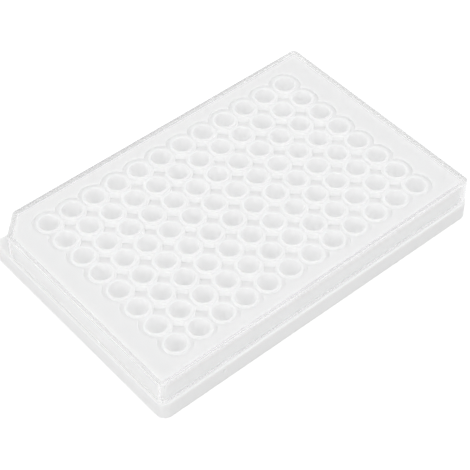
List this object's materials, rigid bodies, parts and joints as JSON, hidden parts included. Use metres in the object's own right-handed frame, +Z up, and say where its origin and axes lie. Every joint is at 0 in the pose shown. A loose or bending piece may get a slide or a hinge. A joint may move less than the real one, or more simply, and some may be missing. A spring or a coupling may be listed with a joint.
{
  "type": "well plate",
  "caption": "Low rectangular laboratory well plate: a grid of round wells with raised rims over a stepped skirt, under a loose clear lid with one cut corner.",
  "frame": {"origin": "centre of the footprint, at the foot of the skirt", "axes": "+X along the long side, +Y along the short side, +Z up, out of the wells; the cut corner is at -X +Y"},
  "size_m": [0.1278, 0.0854, 0.0159],
  "materials": {
    "plate": "white opaque moulding, satin",
    "lid": "clear moulding, gloss"
  },
  "bodies": {
    "root": {"plate": "plate", "lid": "lid"}
  },
  "joints": []
}
